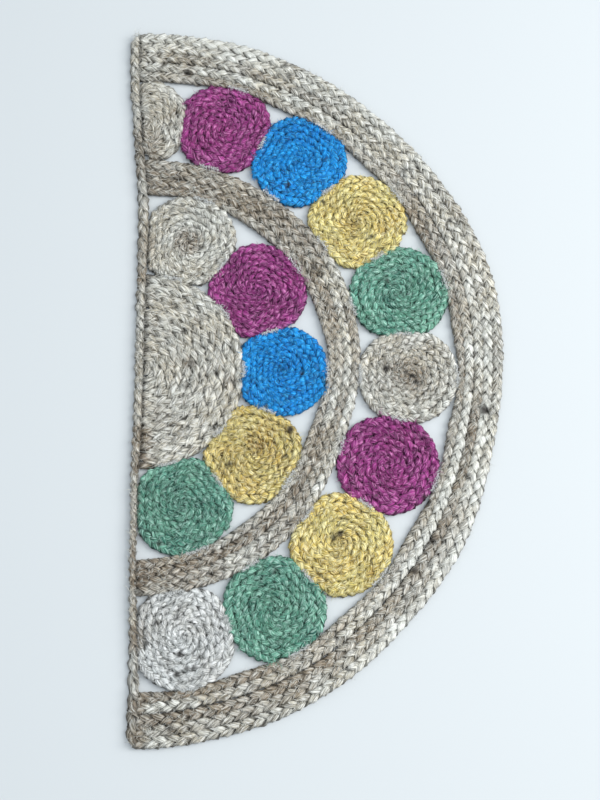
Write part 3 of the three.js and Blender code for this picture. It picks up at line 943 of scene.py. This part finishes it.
def rim_of(node):
    """Middle of a disc and its rim by direction, from its solid"""
    rim = corners_at(node, ROW_HEIGHT * WIDEST)
    floor_corners = corners_at(node, 0)
    groove_corners = corners_at(node, ROW_HEIGHT * GROOVE)
    apart = np.linalg.norm(floor_corners[:, None] - groove_corners[None], axis=2)
    middle = floor_corners[np.argmin(apart.min(axis=1))]
    direction = direction_of(rim - middle)
    reach = np.linalg.norm(rim - middle, axis=1)
    order = np.argsort(direction)
    return middle, direction[order], reach[order]


def disc_line(node, turns, start, sense):
    """Middle line and room across, for a plait wound into a disc"""
    middle, direction, reach = rim_of(node)
    wound = np.linspace(INNERMOST, turns, 9000)
    angle = start + sense * 2 * math.pi * wound
    since_end = (wound - turns) % 1.0
    falling = eased(np.clip((since_end - (1 - PINCHED)) / PINCHED, 0, 1))
    whole = turns - 0.5 + since_end * (1 - falling)
    near = np.clip((wound - 0.5) / whole, 0, 1) ** CROWDING
    far = np.clip((wound + 0.5) / whole, 0, 1) ** CROWDING
    rim = np.interp(angle, direction, reach, period=2 * math.pi) + COIL_REACH
    away = rim * (near + far) / 2 - MIDDLE_PULL * np.exp(-(wound / PULLED_TURNS) ** 2)
    room = rim * (far - near) * COIL_OVERLAP
    keep = room > NARROWEST
    line = places_round(middle, angle, away)
    return line[keep], room[keep]


def standing(room, on_edge):
    """Width of the plait and how far it rolls up on its side to fit its room"""
    width = room + on_edge * np.maximum(PLAIT_WIDTH - room, 0)
    return width, np.arccos(np.clip(room / width, STEEPEST, 1))


# %% [markdown]
# The table gives, for each disc, its kind of jute, its number of turns, the period of its plait in widths,
# how much its inner turns stand on edge, where it was started and which way it was wound.

# %% Discs
DISCS = {
    "outer_coil_1": ("plum_jute", 7.4, 3.4, 0.7, 0.4, 1),
    "outer_coil_2": ("blue_jute", 7.3, 2.5, 0.3, 2.0, 1),
    "outer_coil_3": ("straw_jute", 7.6, 3.3, 0.9, 3.1, -1),
    "outer_coil_4": ("green_jute", 7.4, 3.1, 0.6, 4.4, 1),
    "outer_coil_5": ("natural_jute", 7.0, 3.0, 0.4, 1.2, -1),
    "outer_coil_6": ("plum_jute", 7.5, 3.4, 0.6, 5.2, 1),
    "outer_coil_7": ("straw_jute", 7.5, 3.2, 0.8, 0.9, -1),
    "outer_coil_8": ("green_jute", 7.4, 3.1, 0.5, 2.6, 1),
    "outer_coil_9": ("bleached_jute", 7.4, 3.3, 0.7, 3.9, -1),
    "inner_coil_1": ("natural_jute", 7.4, 3.3, 0.7, 2.2, 1),
    "inner_coil_2": ("plum_jute", 7.6, 3.4, 0.6, 3.6, -1),
    "inner_coil_3": ("blue_jute", 7.2, 2.5, 0.3, 5.0, 1),
    "inner_coil_4": ("straw_jute", 7.5, 3.2, 0.8, 0.2, 1),
    "inner_coil_5": ("green_jute", 7.4, 3.0, 0.5, 1.6, -1),
}
DISC_UNEVENNESS = 1.2

for node, (kind, turns, stretch, on_edge, start, sense) in DISCS.items():
    line, room = disc_line(node, turns, start, sense)
    width, roll = standing(room, on_edge)
    strands = weave(line, width, node, roll=-sense * roll, stretch=stretch, unevenness=DISC_UNEVENNESS)
    finish_piece(plaited_piece(node, strands), kind, node)

# %% [markdown]
# ## The half coils
#
# The middle of the mat is half of a large coil, twelve turns deep, and a smaller half fills the place of a
# disc at one end. Both are cut straight where the binding covers them, so each turn is one bent row. Their
# plait is looser than the discs', with long full strands that differ less from each other.

# %% Half coils
HALF_COIL_STRETCH = 5.2
HALF_COIL_UNEVENNESS = 1.4
HALF_COIL_CONTRAST = 0.5
HALF_COIL_FULLNESS = 1.14
HALF_COIL_REACH = 0.4
HALF_COIL_OVERLAP = 1.04
HALF_COIL_WAVE = 0.9
WIDEST_TUCK = 0.3


def half_coil_strands(node, turns, crowding):
    """All rows of a half coil, bent round the point on the binding"""
    middle, direction, reach = rim_of(node)
    strands = []
    for turn in range(turns):
        near = (turn / turns) ** crowding
        far = ((turn + 1) / turns) ** crowding
        tuck = min(WIDEST_TUCK, TUCK * turns / (turn + 0.5) / reach.mean())
        angle = np.linspace(direction[0] - tuck, direction[-1] + tuck, 60 + 80 * turn)
        rim = np.interp(angle, direction, reach) + HALF_COIL_REACH
        wave = HALF_COIL_WAVE * wander(angle * 60, 40, seeded(f"{node}_{turn // 2}"))
        away = rim * (near + far) / 2 + wave * (0 < turn < turns - 1)
        line = places_round(middle, angle, away)
        width, roll = standing(rim * (far - near) * HALF_COIL_OVERLAP, 1 - near)
        strands += weave(
            line, width, f"{node}_turn_{turn}", roll=roll, stretch=HALF_COIL_STRETCH,
            unevenness=HALF_COIL_UNEVENNESS)
    for strand in strands:
        strand["lobe"] *= HALF_COIL_CONTRAST
        strand["radius"] *= HALF_COIL_FULLNESS
    return strands


for node, turns, crowding in (("centre_half_coil", 12, 1.1), ("edge_half_coil", 7, 1.3)):
    strands = half_coil_strands(node, turns, crowding)
    finish_piece(plaited_piece(node, strands), "natural_jute", node)

# %% [markdown]
# ## Sewing
#
# Discs and bands touch along short stretches only, and there they are sewn with pale thread, over and over
# from one piece to the next. The thread frays, so the seams look whitish and fuzzy. Each stitch is a short
# thin curve that crosses the rim of a disc at a slant, and four frayed ends of thread go with it. A seam is
# a little shorter on a disc's inner side, and shorter again where two discs meet.

# %% Stitches across the seams
STITCH_SPACING = 1.6
STITCH_TOP = 9.9
STITCH_SAG = 1.0
STITCH_LIFT = (-0.6, 0.5)
STITCH_HALF_LENGTH = (1.8, 3.0)
STITCH_SLANT = (0.5, 0.3)
STITCH_THICKNESS = 2.6
FRAYED_ENDS = 4
FRAY_HALF_LENGTH = (1.0, 3.4)
FRAY_SLANT = (-1.6, 1.6)
FRAY_RISE = (0, 0.8)
FRAY_THICKNESS = 1.9
SEAM_HALF_LENGTH = 13.0
INNER_SIDE = 0.9
NEXT_DISC = 0.75


def seam_directions(ring):
    """For each disc of a ring, the directions in which it is sewn to a neighbour"""
    middles = {node: rim_of(node)[0] for node in ring}
    seams = []
    for place, node in enumerate(ring):
        out = middles[node] - MIDDLE_OF_EDGE
        seams.append((node, math.atan2(out[0], -out[1]), SEAM_HALF_LENGTH))
        seams.append((node, math.atan2(-out[0], out[1]), SEAM_HALF_LENGTH * INNER_SIDE))
        if place + 1 < len(ring):
            across = middles[ring[place + 1]] - middles[node]
            seams.append((node, math.atan2(across[0], -across[1]), SEAM_HALF_LENGTH * NEXT_DISC))
    return seams


def stitches(node, towards, half_length, rng):
    """Slanting stitches and frayed ends across one seam"""
    middle, direction, reach = rim_of(node)
    threads = []
    for place in np.arange(-half_length, half_length, STITCH_SPACING) + rng.uniform(0, 1):
        angle = towards + place / reach.mean()
        rim = np.interp(angle, direction, reach, period=2 * math.pi)
        for loose in range(1 + FRAYED_ENDS):
            share = np.linspace(-1, 1, FIBRE_POINTS)
            half = rng.uniform(*(FRAY_HALF_LENGTH if loose else STITCH_HALF_LENGTH))
            slant = rng.uniform(*FRAY_SLANT) if loose else rng.normal(*STITCH_SLANT)
            away = rim + rng.normal(0, 0.4 + 0.5 * loose) + share * half * math.cos(slant)
            turned = angle + (share * half * math.sin(slant) + rng.normal(0, 0.5)) / rim
            height = STITCH_TOP - STITCH_SAG * share ** 2 + rng.uniform(*STITCH_LIFT)
            height = height + (loose > 0) * rng.uniform(*FRAY_RISE)
            threads.append({
                "places": np.column_stack([places_round(middle, turned, away), height]),
                "tilt": np.zeros(FIBRE_POINTS),
                "radius": np.full(FIBRE_POINTS, FRAY_THICKNESS if loose else STITCH_THICKNESS),
                "along": share * half + 40 * place,
                "faded": np.full(FIBRE_POINTS, rng.uniform(0.5, 1.0)),
            })
    return threads


outer_ring = [f"outer_coil_{place}" for place in range(1, 10)]
inner_ring = [f"inner_coil_{place}" for place in range(1, 6)]
threads = []
for node, towards, half_length in seam_directions(outer_ring) + seam_directions(inner_ring):
    threads += stitches(node, towards, half_length, seeded(f"{node}_{towards:.1f}"))
sewing = strands_to_piece("sewing_thread", threads, fibre_section, FIBRE_CORNERS)
finish_piece(sewing, "bleached_jute")

# %% [markdown]
# ## Floor and light
#
# The mat lies on a plain, very pale floor, so a large plane is enough. It isn't part of the mat.

# %% Floor
bpy.ops.object.select_all(action="DESELECT")
bpy.ops.mesh.primitive_plane_add(size=6, location=(0, 0, 0))
floor = bpy.context.active_object
floor.name = "floor"
paper = bpy.data.materials.new("matt_floor")
paper.use_nodes = True
paper_shader = paper.node_tree.nodes["Principled BSDF"]
paper_shader.inputs["Base Color"].default_value = linear("#d6dbdd")
paper_shader.inputs["Roughness"].default_value = 0.7
floor.data.materials.append(paper)
print("floor:", [round(side, 2) for side in floor.dimensions], "metres")

# %% [markdown]
# One large soft light stands at the right of the picture, like a window, and gives short shadows to the
# left. A second one hangs above and lights the floor in the gaps, and the world fills in the rest. Each is
# given by its place, its target, its size in metres, its power in watts and its tint.

# %% Lights


def soft_light(name, location, target, size, power, tint):
    """A square area light that faces a target"""
    bpy.ops.object.select_all(action="DESELECT")
    facing = (Vector(target) - Vector(location)).to_track_quat("-Z", "Y").to_euler()
    bpy.ops.object.light_add(type="AREA", location=location, rotation=facing)
    light = bpy.context.active_object
    light.name = name
    light.data.size = size
    light.data.energy = power
    light.data.color = linear(tint)[:3]


soft_light("window_light", (0.3, -2.8, 2.4), (0, 0, 0), 2.3, 106, "#fcfcfb")
soft_light("ceiling_light", (-0.2, -0.5, 3.0), (0, 0, 0), 1.6, 30, "#f6f9fc")
bpy.context.scene.view_settings.view_transform = "Standard"
world = bpy.data.worlds.new("pale_room")
bpy.context.scene.world = world
world.use_nodes = True
world.node_tree.nodes["Background"].inputs["Color"].default_value = linear("#e9f1f8")
world.node_tree.nodes["Background"].inputs["Strength"].default_value = 0.57

# %% [markdown]
# ## The end
#
# The two section curves have done their work and are removed, and the number of triangles in all is printed.

# %% Remove the sections and finish
bpy.data.objects.remove(section)
bpy.data.objects.remove(fibre_section)
print("triangles in all:", sum(made.values()))
